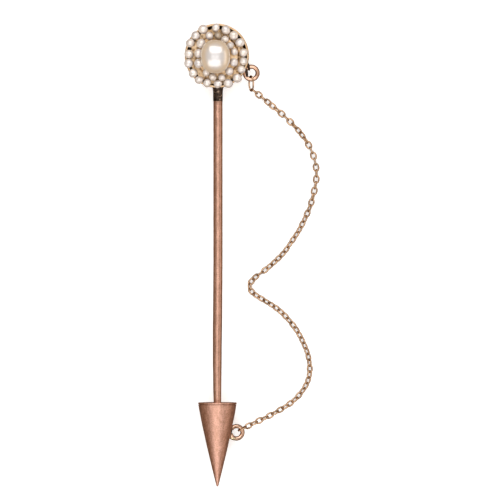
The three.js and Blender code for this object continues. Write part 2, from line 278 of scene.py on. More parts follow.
def polishedGold(name, look):
    # worn polish: cloudy tone, fine scratches, and a brown in the hollows that is partly dirt where the cloth
    # can't reach and partly painted shade
    g = Graph(name)
    clouds = g.noise(900.0, 4.0)
    tone = g.mix(g.level(clouds, 0.35, 0.68), look["dark"], look["light"])
    # painted shade and dirt: the hollows, found by ambient occlusion, turn brown
    clear = g.level(g.crevice(look["reach"] * mm), look["dirtAndShadeFrom"], look["dirtAndShadeTo"])
    patch = g.level(g.noise(2600.0, 3.0), 0.3, 0.75, 0.0, 0.35)
    unshadedAndClean = (clear + patch).clamp()
    colour = g.mix(unshadedAndClean, look["dirtAndShade"], tone)
    scratches = g.noise(3000.0, 4.0, 0.65, g.stretch((1.0, 0.12, 1.0), (0.3, 0.2, 0.6)))
    pits = g.noise(9000.0, 2.0)
    relief = scratches * 0.7 + pits * 0.3
    rough = look["rough"] + (1 - unshadedAndClean) * 0.3 + (clouds - 0.5) * 0.2
    normal = g.bump(relief, look["relief"] * mm)
    return g.finish({"Base Color": colour, "Metallic": 1.0, "Roughness": rough, "Normal": normal})


def bloomedGold(name, look):
    # acid-bloomed rose gold: a fine matt grain with slanting rub marks, browner where it is handled less
    g = Graph(name)
    clouds = g.noise(420.0, 4.0)
    grain = g.noise(5200.0, 3.0, 0.7)
    rubs = g.noise(3000.0, 3.0, 0.6, g.stretch((1.0, 0.3, 1.0), (0.0, 0.0, -0.75)))
    speckle = g.level(grain * 0.6 + rubs * 0.4, 0.40, 0.60)
    tone = g.mix(g.level(clouds, 0.3, 0.7), look["dark"], look["light"])
    colour = g.mix(speckle, look["speck"], tone)
    rough = look["rough"] + (speckle - 0.5) * 0.14
    normal = g.bump(grain * 0.55 + rubs * 0.45, look["relief"] * mm)
    return g, colour, rough, normal


def capMaterial():
    look = {"dark": (0.72, 0.42, 0.325), "light": (0.86, 0.53, 0.42), "speck": (0.50, 0.27, 0.19),
            "rough": 0.42, "relief": 0.07}
    g, colour, rough, normal = bloomedGold("bloomed gold, cap", look)
    return g.finish({"Base Color": colour, "Metallic": 1.0, "Roughness": rough, "Normal": normal})


def stemMaterial():
    # as the cap, with brown heat stain below the solder at the head
    look = {"dark": (0.66, 0.38, 0.28), "light": (0.82, 0.50, 0.38), "speck": (0.50, 0.29, 0.21),
            "rough": 0.36, "relief": 0.02, "stain": (0.055, 0.035, 0.026),
            "stainFrom": -0.0078, "stainTo": -0.0056}
    g, colour, rough, normal = bloomedGold("bloomed gold, stem", look)
    along = g.axis("Y")
    stain = g.level(along + (g.noise(1500.0) - 0.5) * 0.002, look["stainFrom"], look["stainTo"])
    colour = g.mix(stain, colour, look["stain"])
    rough = rough + stain * 0.12
    return g.finish({"Base Color": colour, "Metallic": 1.0, "Roughness": rough, "Normal": normal})


def solderMaterial():
    # old solder: nearly black, with a few scraped bright places
    g = Graph("oxidised solder")
    clouds = g.noise(1700.0, 5.0, 0.6)
    scraped = g.level(g.noise(2600.0, 3.0), 0.60, 0.68)
    dark = g.mix(g.level(clouds, 0.35, 0.65), (0.020, 0.013, 0.010), (0.10, 0.066, 0.048))
    colour = g.mix(scraped, dark, (0.48, 0.34, 0.24))
    rough = 0.30 + clouds * 0.30
    normal = g.bump(clouds, 0.05 * mm)
    return g.finish({"Base Color": colour, "Metallic": 0.9, "Roughness": rough, "Normal": normal})


def pearlMaterial(name, look):
    # nacre: a cream body with grey and rose clouds and a clear lustre over it
    g = Graph(name)
    clouds = g.noise(look["cloudScale"], 3.0)
    overtone = g.noise(look["cloudScale"] * 0.6 + 137.0, 2.0)
    body = g.ramp(clouds, [(0.30, look["grey"]), (0.52, look["body"]), (0.72, look["rose"])])
    body = g.mix(g.level(overtone, 0.42, 0.62, 0.0, 0.6), body, look["cream"])
    # painted shade and a painted reflection of the gold: in the hollows between the pearls, found by ambient
    # occlusion, the body turns to the tan shade colour
    clear = g.level(g.crevice(look["reach"] * mm), 0.08, 0.62)
    body = g.mix(clear, look["shade"], body)
    rough = look["rough"] + (clouds - 0.5) * 0.12
    normal = g.bump(g.noise(look["cloudScale"] * 3.0, 3.0), look["relief"] * mm)
    return g.finish({"Base Color": body, "Roughness": rough, "IOR": 1.9, "Normal": normal, "Coat Weight": 0.8,
                     "Coat Roughness": 0.08, "Coat IOR": 1.9, "Metallic": look["sheen"]})


yellowGold = polishedGold("yellow rose gold", {
    "dark": (0.60, 0.40, 0.23), "light": (0.78, 0.57, 0.36), "dirtAndShade": (0.17, 0.075, 0.03), "reach": 0.7,
    "dirtAndShadeFrom": 0.16, "dirtAndShadeTo": 0.55, "rough": 0.27, "relief": 0.010})
# a solder bead's pale gold, bright enough to be a painted highlight on the cap ring's lower end
paleGoldAndHighlight = polishedGold("pale gold with painted highlight, solder bead", {
    "dark": (0.80, 0.64, 0.40), "light": (0.98, 0.88, 0.64), "dirtAndShade": (0.17, 0.075, 0.03), "reach": 0.7,
    "dirtAndShadeFrom": 0.16, "dirtAndShadeTo": 0.55, "rough": 0.27, "relief": 0.010})
# painted shade and stain: the setting's hollows between the pearls darken wider and deeper than the other
# golds'
settingGold = polishedGold("stained gold with painted shade, setting", {
    "dark": (0.52, 0.34, 0.18), "light": (0.84, 0.64, 0.42), "dirtAndShade": (0.17, 0.08, 0.03), "reach": 0.8,
    "dirtAndShadeFrom": 0.08, "dirtAndShadeTo": 0.42, "rough": 0.38, "relief": 0.02})
ringGold = polishedGold("rose gold, rings", {
    "dark": (0.56, 0.35, 0.245), "light": (0.76, 0.52, 0.39), "dirtAndShade": (0.12, 0.06, 0.03), "reach": 0.4,
    "dirtAndShadeFrom": 0.2, "dirtAndShadeTo": 0.6, "rough": 0.22, "relief": 0.008})
chainGold = polishedGold("rose gold, chain", {
    "dark": (0.44, 0.285, 0.17), "light": (0.74, 0.52, 0.35), "dirtAndShade": (0.13, 0.065, 0.035), "reach": 0.35,
    "dirtAndShadeFrom": 0.25, "dirtAndShadeTo": 0.8, "rough": 0.20, "relief": 0.006})
springGold = polishedGold("spring gold", {
    "dark": (0.62, 0.50, 0.36), "light": (0.78, 0.66, 0.50), "dirtAndShade": (0.16, 0.11, 0.07), "reach": 0.4,
    "dirtAndShadeFrom": 0.2, "dirtAndShadeTo": 0.6, "rough": 0.28, "relief": 0.006})
seedPearl = pearlMaterial("seed pearl", {
    "body": (0.84, 0.80, 0.79), "grey": (0.62, 0.60, 0.61), "rose": (0.80, 0.70, 0.65),
    "cream": (0.86, 0.76, 0.64), "shade": (0.66, 0.47, 0.28), "cloudScale": 1000.0, "reach": 0.6,
    "rough": 0.2, "relief": 0.05, "sheen": 0.25})
dullPearl = pearlMaterial("dull seed pearl", {
    "body": (0.42, 0.31, 0.20), "grey": (0.34, 0.27, 0.20), "rose": (0.50, 0.38, 0.26),
    "cream": (0.52, 0.42, 0.29), "shade": (0.22, 0.14, 0.07), "cloudScale": 900.0, "reach": 0.7,
    "rough": 0.4, "relief": 0.03, "sheen": 0.1})


def buttonPearlMaterial(centre, half):
    # whiter on its crown; the honey down its sides is a painted reflection of the gold and the cream at its
    # very edge a painted reflection of the bright floor; a satin lustre over it
    g = Graph("button pearl")
    spot = g.add("ShaderNodeMapping", {"vector_type": "POINT"}, {
        "Vector": g.place, "Scale": (1 / half[0], 1 / half[1], 1 / half[2]),
        "Location": (-centre[0] / half[0], -centre[1] / half[1], -centre[2] / half[2])})
    flat = g.add("ShaderNodeVectorMath", {"operation": "MULTIPLY"}, {0: spot, 1: (1.0, 0.86, 0.0)})
    reach = g.add("ShaderNodeVectorMath", {"operation": "LENGTH"}, {0: flat}, "Value")
    clouds = g.noise(260.0, 3.0)
    out = reach + (clouds - 0.5) * 0.12
    # painted reflections: the ramp runs from the crown's own white to a painted honey reflection of the gold
    # and a painted cream line at the edge
    body = g.ramp(out, [(0.22, (0.78, 0.77, 0.775)), (0.50, (0.76, 0.72, 0.69)), (0.74, (0.74, 0.61, 0.46)),
                        (0.90, (0.82, 0.67, 0.49)), (0.985, (1.0, 0.93, 0.80))])
    normal = g.bump(clouds, 0.015 * mm)
    rough = 0.25 + (clouds - 0.5) * 0.08
    return g.finish({"Base Color": body, "Roughness": rough, "IOR": 1.9, "Normal": normal, "Coat Weight": 0.9,
                     "Coat Roughness": 0.2, "Coat IOR": 1.9, "Metallic": 0.25})


capGold = capMaterial()
stemGold = stemMaterial()
solder = solderMaterial()
print("materials made")

# shapes


def wobble(points, seed, size, height):
    # soft random hills: the mean of eight sine waves of random direction, with about the given size (mm) from
    # hill to hill
    draw = np.random.default_rng(seed)
    ways = draw.normal(size=(8, 3))
    ways *= (2 * np.pi / size) * draw.uniform(0.6, 1.4, (8, 1)) / np.linalg.norm(ways, axis=1, keepdims=True)
    waves = np.sin(points @ ways.T + draw.uniform(0, 2 * np.pi, 8))
    return height * waves.mean(-1) * 2


def wrapFaces(rows, columns, looped):
    # quads between neighbouring rows of a grid that closes on itself round its columns
    i, j = np.meshgrid(np.arange(rows if looped else rows - 1), np.arange(columns), indexing="ij")
    up, on = (i + 1) % rows, (j + 1) % columns
    corners = [i * columns + j, i * columns + on, up * columns + on, up * columns + j]
    return np.stack(corners, -1).reshape(-1, 4)


def outward(points, faces):
    # six times the enclosed volume is the sum of each face's triangle products; where it is negative, every
    # face is turned round
    a = points[faces[:, 0]]
    total = sum((a * np.cross(points[faces[:, k]], points[faces[:, k + 1]])).sum() for k in (1, 2))
    return faces if total > 0 else faces[:, ::-1]


def closedPart(grid, looped):
    # one closed body from a grid (rows, columns, xyz): a looped grid joins its last row to its first,
    # and any other is shut by a fan from each end row to a point in its middle
    rows, columns = grid.shape[:2]
    points = grid.reshape(-1, 3)
    faces = wrapFaces(rows, columns, looped)
    if not looped:
        j = np.arange(columns)
        on = (j + 1) % columns
        first, last = len(points), len(points) + 1
        points = np.vstack([points, grid[0].mean(0), grid[-1].mean(0)])
        start = np.stack([j, np.full(columns, first), np.full(columns, first), on], -1)
        end = (rows - 1) * columns + j
        stop = np.stack([end, (rows - 1) * columns + on, np.full(columns, last), np.full(columns, last)], -1)
        faces = np.vstack([faces, start, stop])
    return points, outward(points, faces)


def makePiece(name, grids, material, looped=False):
    # joins closed parts, given in mm, into one object in metres
    allPoints, allFaces, start = [], [], 0
    for grid in grids:
        points, faces = closedPart(grid, looped)
        allPoints.append(points)
        allFaces.append(faces + start)
        start += len(points)
    faces = [list(dict.fromkeys(face)) for face in np.vstack(allFaces).tolist()]
    data = bpy.data.meshes.new(name)
    data.from_pydata((np.vstack(allPoints) * mm).tolist(), [], faces)
    data.polygons.foreach_set("use_smooth", [True] * len(faces))
    data.materials.append(material)
    data.update()
    obj = bpy.data.objects.new(name, data)
    bpy.context.collection.objects.link(obj)
    return obj


def standFor(obj, node):
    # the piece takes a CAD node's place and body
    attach(obj, bodyOfNode[node])
    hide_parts(node)


slotOfNode = {part["node"]: part["material_slot"] for part in frame["record"]["subparts"]}


def centreAndSize(node):
    low, high = (np.array(corner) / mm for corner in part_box(node))
    return (low + high) / 2, high - low


def smoothProfile(points, steps, sharp=()):
    # a profile through the points: straight runs, with each corner rounded by a short curve (Chaikin's corner
    # cutting, done that many times); corners listed as sharp stay
    line = np.array(points, float)
    keep = np.array([k in sharp for k in range(len(line))])
    for _ in range(steps):
        a, b = line[:-1], line[1:]
        cut = np.stack([a * 0.75 + b * 0.25, a * 0.25 + b * 0.75], 1)
        rows, kept = [line[0]], [True]
        for k in range(len(a)):
            if k > 0 and keep[k]:
                rows.append(line[k])
                kept.append(True)
            rows += [cut[k, 0], cut[k, 1]]
            kept += [False, False]
        rows.append(line[-1])
        kept.append(True)
        line, keep = np.array(rows), np.array(kept)
    return line


def spun(profile, count, centre=(0.0, 0.0, 0.0), along="Z"):
    # a profile of (radius, height) turned about an axis through the centre
    turn = np.linspace(0, 2 * np.pi, count, endpoint=False)
    r, h = np.array(profile).T[:, :, None]
    across, up = r * np.cos(turn), r * np.sin(turn)
    height = np.broadcast_to(h, across.shape)
    parts = [across, up, height] if along == "Z" else [across, height, up]
    return np.stack(parts, -1) + np.array(centre)


# head

head = {
    "outerCount": 18, "innerCount": 13,
    "ledgeTop": 3.76, "terraceTop": 4.35,  # the setting plate's two steps
    "terraceEdge": 3.28, "plateEdge": 4.6,  # and their radii
    "edgeMiddle": 3.66,  # the height that the plate thins to at its edge
    "underStep": 3.0, "underInside": 3.86, "underOutside": 3.40,  # the underside's step and its two heights
    "scallopDepth": 0.5, "seatDepth": 0.16,
    "outerGrains": 3.86, "innerGrains": 3.36,  # how far out the two rows of grains stand
    "flatness": 0.56,  # depth of a pearl's flat seat under its centre, in pearl radii
    "rimLean": (-0.08, 0.09), "rimLeanFrom": 2.6,  # the rim leans off the plate's centre above that height
}


def backPlatePiece():
    # a flat disc with a soft edge
    profile = [(0.01, 0.0), (2.0, 0.0), (4.18, 0.0), (4.3, 0.1), (4.3, 0.38), (4.22, 0.45), (2.0, 0.45),
               (0.01, 0.45)]
    grid = spun(smoothProfile(profile, 2), 128)
    obj = makePiece("backPlate", [grid], yellowGold)
    standFor(obj, "back_plate")


def galleryPiece(values):
    # a flared band: profile up the outside, over the rounded rim and down the inside
    base = 0.49
    profile = [(4.17, base), (4.35, base), (4.40, 0.8), (4.46, 1.2), (4.56, 1.9), (4.70, 2.6), (4.82, 3.1),
               (4.93, 3.38), (5.04, 3.5), (5.04, 3.68), (5.03, 3.8), (4.95, 3.86), (4.84, 3.86), (4.72, 3.86),
               (4.68, 3.6), (4.60, 3.3), (4.34, 2.6), (4.2, 1.9), (4.1, 1.2), (3.98, base), (4.17, base)]
    line = smoothProfile(profile, 2)[:-1]
    grid = spun(line, 192)
    push = wobble(grid, 5, 2.4, 0.012)
    radius, turn = np.hypot(grid[..., 0], grid[..., 1]), np.arctan2(grid[..., 1], grid[..., 0])
    grid[..., :2] *= (1 - (np.abs(push) + 0.05 * (radius > 4.6)) / radius)[..., None]
    grid[..., :2] += np.array(values["rimLean"]) * np.clip(grid[..., 2:] - values["rimLeanFrom"], 0, 1)
    obj = makePiece("galleryRim", [grid], yellowGold, looped=True)
    standFor(obj, "gallery_rim")


def settingPiece(values):
    # a stepped plate by height over (radius, angle): the terrace, a steep wall and the ledge; each pearl has
    # a round seat sunk in it, and the plate's edge is scalloped inwards between the outer pearls
    outer = [centreAndSize("outer_pearl_%02d" % (k + 1))[0][:2] for k in range(values["outerCount"])]
    inner = [centreAndSize("inner_pearl_%02d" % (k + 1))[0][:2] for k in range(values["innerCount"])]
    turn = np.linspace(0, 2 * np.pi, 360, endpoint=False)
    share = [np.linspace(0.01, 0.72, 30), np.linspace(0.73, 0.80, 12), np.linspace(0.805, 1.0, 28)]
    share = np.concatenate(share)
    gaps = np.sort(np.arctan2(*np.array(outer).T[::-1]))
    middles = (gaps + np.diff(np.r_[gaps, gaps[0] + 2 * np.pi]) / 2)
    draw = np.random.default_rng(11)
    depths = values["scallopDepth"] * draw.uniform(0.45, 1.0, len(middles))
    away = (turn[:, None] - middles + np.pi) % (2 * np.pi) - np.pi
    edge = values["plateEdge"] - (depths * np.exp(-(away / 0.08) ** 2)).sum(1)
    radius = share[:, None] * edge
    x, y = radius * np.cos(turn), radius * np.sin(turn)
    step = 1 / (1 + np.exp((radius - values["terraceEdge"]) / 0.03))
    top = values["ledgeTop"] + (values["terraceTop"] - values["ledgeTop"]) * step
    for spots, reach in ((outer, 0.5), (inner, 0.45)):
        for spot in spots:
            near = np.hypot(x - spot[0], y - spot[1]) / reach
            lip = values["seatDepth"] * 0.5 * np.exp(-(near - 1.25) ** 2 / 0.05)
            top = top + lip - 0.04 * np.exp(-near ** 2)
    top = np.minimum(top + wobble(np.stack([x, y, top], -1), 3, 0.8, 0.02), values["terraceTop"] + 0.08)
    fade = np.clip((1.0 - share) / 0.02, 0, 1)[:, None]
    top = values["edgeMiddle"] + (top - values["edgeMiddle"]) * (0.2 + 0.8 * fade)
    under = np.where(radius < values["underStep"], values["underInside"], values["underOutside"])
    upper = np.stack([x, y, top], -1)
    lower = np.stack([x, y, under], -1)[::-1]
    obj = makePiece("settingPlate", [np.concatenate([upper, lower])], settingGold)
    standFor(obj, "setting_plate")


def grainPiece(values):
    # small gold grains in the gaps of both rows: a flattened dome each, its foot sunk in the plate
    outer = np.array([centreAndSize("outer_pearl_%02d" % (k + 1))[0] for k in range(values["outerCount"])])
    inner = np.array([centreAndSize("inner_pearl_%02d" % (k + 1))[0] for k in range(values["innerCount"])])
    grids = []
    draw = np.random.default_rng(23)
    rows = ((outer, values["outerGrains"], values["ledgeTop"]),
            (inner, values["innerGrains"], values["terraceTop"] - 0.05))
    for row, radius, base in rows:
        angle = np.sort(np.arctan2(row[:, 1], row[:, 0]))
        middle = angle + np.diff(np.r_[angle, angle[0] + 2 * np.pi]) / 2
        for turn in middle:
            size = draw.uniform(0.13, 0.19)
            spot = (radius * np.cos(turn), radius * np.sin(turn), base)
            grids.append(domeGrid(spot, size, size * draw.uniform(0.9, 1.5)))
    obj = makePiece("settingGrains", grids, settingGold)
    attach(obj, "pin")


def domeGrid(spot, radius, height):
    # half an ellipsoid standing on its foot at the spot
    up = np.linspace(0.0, 0.98, 7) * np.pi / 2
    turn = np.linspace(0, 2 * np.pi, 14, endpoint=False)
    ring = np.cos(up)[:, None]
    z = np.broadcast_to(np.sin(up)[:, None] * height, (len(up), len(turn)))
    grid = np.stack([ring * np.cos(turn) * radius, ring * np.sin(turn) * radius, z], -1)
    return grid + np.array(spot)


def pearlGrid(seed, middle, radius, drop, rows=22, columns=36):
    # a ball cut flat at drop below its centre, drawn out along one way and pushed about by soft hills
    low = -np.arcsin(drop)
    up = np.concatenate([[low], np.linspace(low, np.pi / 2 * 0.985, rows)])
    turn = np.linspace(0, 2 * np.pi, columns, endpoint=False)
    ring = np.cos(up)
    ring[0] *= 0.9
    grid = np.stack([ring[:, None] * np.cos(turn), ring[:, None] * np.sin(turn),
                     np.broadcast_to(np.sin(up)[:, None], (len(up), columns))], -1)
    draw = np.random.default_rng(seed)
    angle = draw.uniform(0, np.pi)
    way = np.array([np.cos(angle), np.sin(angle), 0.0])
    long = draw.uniform(0.01, 0.07)
    grid = grid * (1 - long) + (grid @ way)[..., None] * way * long * 1.6
    grid = grid * (1 + wobble(grid, seed + 100, 1.7, 0.05))[..., None]
    across = np.hypot(grid[..., 0], grid[..., 1]).max(0).mean()
    grid[..., :2] /= across
    grid[..., 2] = np.maximum(grid[..., 2], -drop)
    return grid * radius * np.array([1, 1, draw.uniform(0.86, 0.99)]) + middle


def seedPearlPieces(values):
    boxLow, boxHigh = np.array(cadBox) / mm
    for row, count in (("outer", values["outerCount"]), ("inner", values["innerCount"])):
        for k in range(count):
            node = "%s_pearl_%02d" % (row, k + 1)
            centre, size = centreAndSize(node)
            radius, drop = size[1] / 2, values["flatness"]
            z = centre[2] - size[2] / 2 + drop * radius * 0.9
            seed = k * 7 + (8 if row == "outer" else 5)
            grid = pearlGrid(seed, (centre[0], centre[1], z), radius, drop)
            # kept within the pin's own box
            low, high = grid.min((0, 1)), grid.max((0, 1))
            grid += np.maximum(boxLow - low, 0) - np.maximum(high - boxHigh, 0)
            dull = slotOfNode[node] == "dull_pearl"
            obj = makePiece("%sPearl%02d" % (row, k + 1), [grid], dullPearl if dull else seedPearl)
            standFor(obj, node)


def buttonPearlPiece():
    # a flattened ball whose outline is |x|^n + |y|^n = 1, with a slow swell so that no side is quite straight
    centre, size = centreAndSize("large_pearl")
    half = size / 2
    squareness = 2.3
    up = np.linspace(-0.985, 0.99, 64) * np.pi / 2
    turn = np.linspace(0, 2 * np.pi, 120, endpoint=False)
    c, s = np.cos(turn), np.sin(turn)
    outline = (np.abs(c) ** squareness + np.abs(s) ** squareness) ** (-1 / squareness)
    ring = np.cos(up)[:, None]
    height = np.broadcast_to(np.sin(up)[:, None], (64, 120))
    grid = np.stack([ring * outline * c, ring * outline * s, height], -1)
    grid *= 0.995 - np.abs(wobble(grid, 8, 2.2, 0.012))[..., None]
    obj = makePiece("buttonPearl", [grid * half + centre], buttonPearlMaterial(centre * mm, half * mm))
    standFor(obj, "large_pearl")


def pearlCupPiece():
    # the cup under the button pearl: a shallow dish with a thin flared lip, spun from its profile
    centre = centreAndSize("large_pearl_cup")[0]
    profile = [(0.85, 4.39), (1.3, 4.39), (1.72, 4.39), (1.86, 4.52), (1.95, 4.70), (1.90, 4.745),
               (1.82, 4.74), (1.6, 4.62), (1.3, 4.50), (1.0, 4.43), (0.85, 4.39)]
    grid = spun(smoothProfile(profile, 2)[:-1], 96, (centre[0], centre[1], 0.0))
    obj = makePiece("pearlCup", [grid], yellowGold, looped=True)
    standFor(obj, "large_pearl_cup")


backPlatePiece()
galleryPiece(head)
settingPiece(head)
grainPiece(head)
seedPearlPieces(head)
buttonPearlPiece()
pearlCupPiece()
print("head made")

# stem

stem = {
    "axisHeight": 3.03, "start": -5.12, "radius": 0.72, "mouth": -53.84, "inside": 7.0,
    "taper": [(-53.64, 0.6), (-50.7, 0.652), (-48.2, 0.687), (-45.7, 0.703), (-43.2, 0.72)],
    "groove": -59.51, "grooveDepth": 0.12,
    "wall": -4.74, "collarEnd": -6.95,  # the solder runs from one to the other
    "bow": 0.11, "bowFrom": -49.0, "bowTo": -30.0,
}


def stemBow(values, y):
    # how far the worn bar stands off the straight line: none at the cap, rising as a smooth step
    share = np.clip((y - values["bowFrom"]) / (values["bowTo"] - values["bowFrom"]), 0, 1)
    return values["bow"] * (share * share * (3 - 2 * share) - 0.22) * np.clip((y + 53.8) / 2, 0, 1)


def stemPiece(values):
    # a round bar that thins towards the cap, its section a little out of round, with a rounded point and
    # a groove
    point = values["mouth"] - values["inside"]
    shown = np.linspace(values["start"], values["mouth"] + 1, 260)
    hidden = np.linspace(values["mouth"] + 0.9, point + 0.9, 120)
    y = np.concatenate([shown, hidden, point + 0.85 * np.cos(np.linspace(0.1, 1.5, 14)) ** 1.4])
    radius = np.interp(y, *np.array(values["taper"]).T)
    radius *= np.clip((y - point) / 0.85, 0, 1) ** 0.62 * 0.995
    radius -= values["grooveDepth"] * np.clip(1.9 - np.abs(y - values["groove"]) / 0.16, 0, 1)
    turn = np.linspace(0, 2 * np.pi, 72, endpoint=False)
    grid = np.stack([radius[:, None] * np.cos(turn), np.broadcast_to(y[:, None], (len(y), 72)),
                     radius[:, None] * np.sin(turn)], -1)
    worn = np.clip((y - values["mouth"]) / 2.0, 0, 1)[:, None]
    dent = 1 - np.abs(wobble(grid, 31, 2.6, 0.012)) * worn
    grid[..., 0] *= dent
    grid[..., 2] *= dent
    grid += np.array([0, 0, values["axisHeight"]])
    grid[..., 0] += stemBow(values, y)[:, None]
    obj = makePiece("stemBar", [grid], stemGold)
    standFor(obj, "stem")


def collarPiece(values):
    # run solder round the stem: a shell whose radius falls fast from the gallery and then slowly, with drips
    y = np.linspace(values["wall"], values["collarEnd"], 60)
    turn = np.linspace(0, 2 * np.pi, 64, endpoint=False)
    down = (values["wall"] - y) / (values["wall"] - values["collarEnd"])
    inner = values["radius"] + 0.002
    outer = inner + 0.02 + 0.16 * np.exp(-down * 9) + 0.03 * (1 - down)
    place = np.stack([np.cos(turn), np.sin(turn), np.zeros(64)], -1)[None]
    place = place + np.array([0, 0, 1.0]) * y[:, None, None]
    drips = wobble(place, 77, 1.1, 0.02)
    radius = np.clip(outer[:, None] + drips * down[:, None], inner + 0.012, inner + 0.33)
    along = np.broadcast_to(y[:, None], radius.shape)
    outside = np.stack([radius * np.cos(turn), along, radius * np.sin(turn)], -1)
    inside = spun(np.stack([np.full(60, inner), y], -1), 64, along="Y")[::-1]
    grid = np.concatenate([outside, inside]) + np.array([stemBow(values, y).mean(), 0, values["axisHeight"]])
    obj = makePiece("stemSolder", [grid], solder, looped=True)
    standFor(obj, "stem_collar")


stemPiece(stem)
collarPiece(stem)
print("stem made")

# cap

cap = {
    "top": -53.84, "radius": 3.03, "length": 13.11, "wall": 0.35, "lid": 0.32, "hollow": 10.5, "bore": 0.65,
    "point": 13.63,  # where the sides would meet if the tip weren't blunt
    "fullness": 1.13,  # 1 is a straight cone; more makes the sides bulge
}


def capRadius(values, depth):
    # radius falls with depth as 1 - (depth / point) ^ fullness
    return values["radius"] * (1 - (depth / values["point"]) ** values["fullness"])


def capShellPiece(values):
    # the outside runs from the rounded tip up to the lid and the inside back down to the end of the hollow
    start = values["lid"] + 0.03
    depth = values["length"] - (values["length"] - start) * np.linspace(0.004, 1, 180) ** 1.15
    outer = np.stack([capRadius(values, depth) * 0.998, values["top"] - depth], -1)
    outer[:, 0] = np.maximum(outer[:, 0], 0.0)
    nose = 1 - (1 - np.clip((values["length"] - depth) / 0.22, 0, 1)) ** 2
    outer[:, 0] = outer[:, 0] * np.sqrt(nose) + 0.002
    inDepth = np.linspace(start, values["hollow"], 30)
    inRadius = np.maximum(capRadius(values, inDepth) - values["wall"], 0.01)
    inner = np.stack([inRadius, values["top"] - inDepth], -1)
    grid = spun(np.concatenate([outer, inner]), 144, along="Y")
    hills = np.abs(wobble(grid, 61, 3.2, 0.018)) + np.abs(wobble(grid, 62, 1.1, 0.004))
    shrink = 1 - hills / values["radius"]
    grid[..., 0] *= shrink
    grid[..., 2] = grid[..., 2] * shrink + stem["axisHeight"]
    obj = makePiece("capShell", [grid], capGold)
    standFor(obj, "cap_shell")


def capLidPiece(values):
    # a washer with a burnished edge, soldered into the mouth
    r, top, bore, lid = values["radius"], values["top"], values["bore"], values["lid"]
    profile = [(1.8, top), (2.7, top), (r - 0.05, top), (r - 0.015, top - 0.04), (r - 0.03, top - 0.18),
               (r - 0.05, top - lid), (2.4, top - lid), (bore, top - lid), (bore, top - 0.16),
               (bore + 0.02, top - 0.02), (bore + 0.08, top), (1.8, top)]
    grid = spun(smoothProfile(profile, 2)[:-1], 144, (0, 0, stem["axisHeight"]), "Y")
    obj = makePiece("capLid", [grid], capGold, looped=True)
    standFor(obj, "cap_lid")


capShellPiece(cap)
capLidPiece(cap)
print("cap made")

# rings

rings = {
    "head": {"centre": (5.27, -2.57, 2.2), "radius": 0.99, "wire": 0.34,
             "from": -180, "to": 176, "turn": -26.0},
    "cap": {"centre": (3.07, -58.51, 0.0), "radius": 0.965, "wire": 0.34,
            "from": -168, "to": 150, "turn": 0.0},
    "capTilt": 15.0,  # how far round the cap its ring is soldered, in degrees
}
# run solder at the rings, in mm: the cap's two lumps are placed as its ring is before the tilt
lumps = {
    "headUpper": {"seed": 3, "centre": (4.83, -1.55, 2.3), "half": (0.22, 0.66, 0.6), "turn": 12},
    "headLower": {"seed": 4, "centre": (4.55, -2.55, 2.3), "half": (0.24, 0.75, 0.5), "turn": 6},
    "capBead": {"seed": 9, "centre": (2.47, -59.46, 0.0), "half": (0.56, 0.26, 0.40), "turn": -14},
    "capSeam": {"seed": 12, "centre": (2.15, -58.45, 0.0), "half": (0.17, 1.2, 0.45), "turn": -12.6},
}


def sweep(path, across, up, wire, sides=20):
    # a round wire along a path: at each point a circle in the plane of the two given unit vectors
    turn = np.linspace(0, 2 * np.pi, sides, endpoint=False)[None, :, None]
    radius = np.broadcast_to(np.asarray(wire, float), (len(path),))[:, None, None]
    return path[:, None] + radius * (np.cos(turn) * across[:, None] + np.sin(turn) * up[:, None])


def turnAboutY(points, degrees):
    c, s = math.cos(math.radians(degrees)), math.sin(math.radians(degrees))
    x, y, z = points[..., 0], points[..., 1], points[..., 2]
    return np.stack([x * c + z * s, y, -x * s + z * c], -1)


def ringGrid(ring):
    # an arc of round wire that thickens a little at its two soldered ends
    share = np.linspace(0, 1, 90)
    angle = np.radians(ring["from"] + (ring["to"] - ring["from"]) * share + ring["turn"])
    way = np.stack([np.cos(angle), np.sin(angle), np.zeros(90)], -1)
    path = np.array(ring["centre"]) + way * ring["radius"]
    wire = ring["wire"] * (0.99 + 0.10 * (np.exp(-share / 0.05) + np.exp(-(1 - share) / 0.05)))
    up = np.tile([0.0, 0.0, 1.0], (90, 1))
    return sweep(path, way, up, np.minimum(wire, ring["wire"] * 1.06))


def lumpGrid(lump):
    # a lump of run metal: an ellipsoid with soft hills, turned about the upright
    up = np.linspace(-0.97, 0.97, 22) * np.pi / 2
    around = np.linspace(0, 2 * np.pi, 32, endpoint=False)
    ring = np.cos(up)[:, None]
    height = np.broadcast_to(np.sin(up)[:, None], (22, 32))
    ball = np.stack([ring * np.cos(around), ring * np.sin(around), height], -1)
    ball *= (1 + wobble(ball, lump["seed"], 1.6, 0.09))[..., None]
    ball *= np.array(lump["half"])
    c, s = math.cos(math.radians(lump["turn"])), math.sin(math.radians(lump["turn"]))
    x, y = ball[..., 0] * c - ball[..., 1] * s, ball[..., 0] * s + ball[..., 1] * c
    return np.stack([x, y, ball[..., 2]], -1) + np.array(lump["centre"])


def onCap(grid):
    # turned round the cap by its ring's tilt and lifted to the stem's axis
    grid = turnAboutY(grid, rings["capTilt"])
    grid[..., 2] += stem["axisHeight"]
    return grid


def ringPieces():
    obj = makePiece("headRing", [ringGrid(rings["head"])], ringGold)
    standFor(obj, "head_ring")
    obj = makePiece("headRingSolder", [lumpGrid(lumps["headUpper"]), lumpGrid(lumps["headLower"])], solder)
    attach(obj, "pin")
    obj = makePiece("capRing", [onCap(ringGrid(rings["cap"]))], ringGold)
    standFor(obj, "cap_ring")
    # the cap ring's solder bead, its pale colour partly a painted highlight
    obj = makePiece("capRingSolder", [onCap(lumpGrid(lumps["capBead"]))], paleGoldAndHighlight)
    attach(obj, "cap")
    obj = makePiece("capRingSeam", [onCap(lumpGrid(lumps["capSeam"]))], solder)
    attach(obj, "cap")


ringPieces()
print("rings made")

# chain

chain = {"links": 75, "stretches": 12, "length": 1.40, "width": 1.07, "wire": 0.138, "squareness": 2.3}
